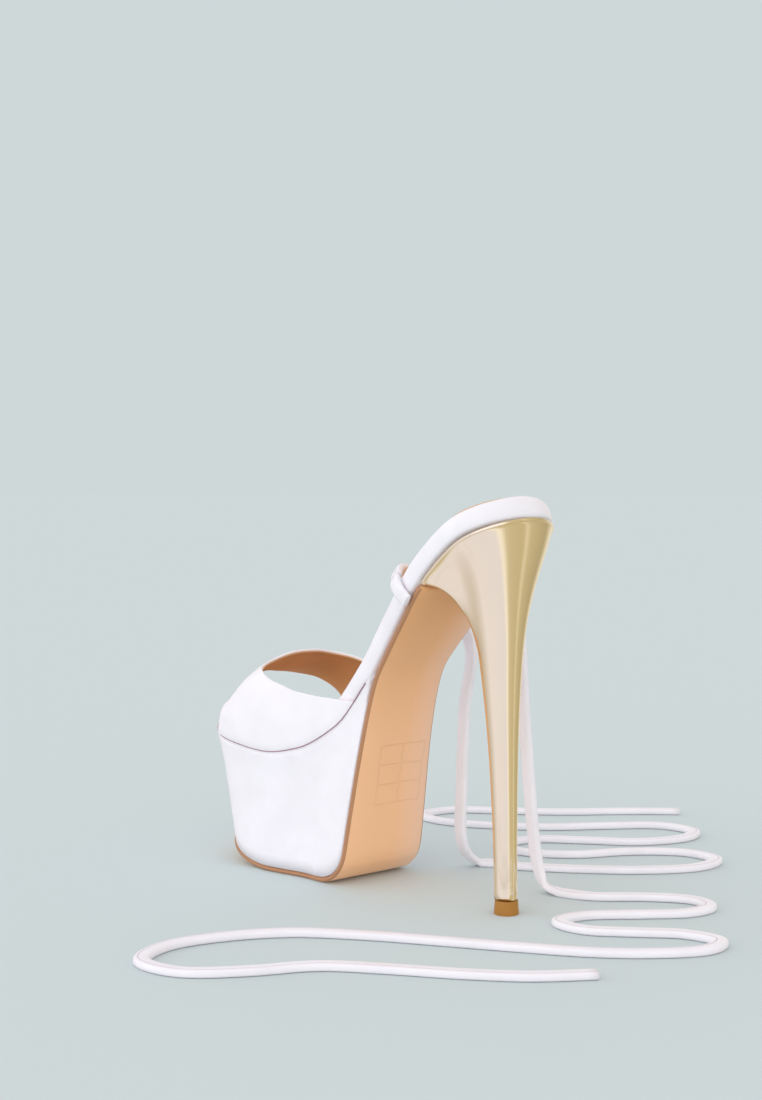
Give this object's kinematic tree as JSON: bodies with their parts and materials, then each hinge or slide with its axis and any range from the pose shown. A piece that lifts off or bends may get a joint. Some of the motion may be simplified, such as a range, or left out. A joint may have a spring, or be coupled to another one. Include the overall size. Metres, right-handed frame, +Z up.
{
  "type": "lace-up heeled platform sandal",
  "caption": "Left platform stiletto sandal: one wide peep-toe band, covered platform, plated heel with its tip, and two long leg ties lying loose on the floor.",
  "frame": {"origin": "middle of the heel tip's ground face, on the floor", "axes": "+Y towards the toe, +Z up, +X towards the wearer's right, the inner side of this left shoe"},
  "size_m": [0.3823, 0.2826, 0.1753],
  "materials": {
    "footbed_leather": "smooth, soft sheen",
    "sock_lining": "matt",
    "outsole_rubber": "smooth satin",
    "platform_leather": "smooth, soft sheen",
    "heel_plating": "pale gold plating, satin gloss",
    "heel_tip_plastic": "matt",
    "vamp_leather": "smooth, soft sheen",
    "tie_tab_leather": "smooth, soft sheen",
    "tie_leather": "smooth, soft sheen"
  },
  "bodies": {
    "root": {"footbed": "footbed_leather", "insole_sock": "sock_lining", "outsole": "outsole_rubber", "platform": "platform_leather", "heel": "heel_plating", "heel_tip": "heel_tip_plastic", "vamp": "vamp_leather", "tie_tab_left": "tie_tab_leather", "tie_tab_right": "tie_tab_leather", "tie_left": "tie_leather", "tie_right": "tie_leather"}
  },
  "joints": []
}
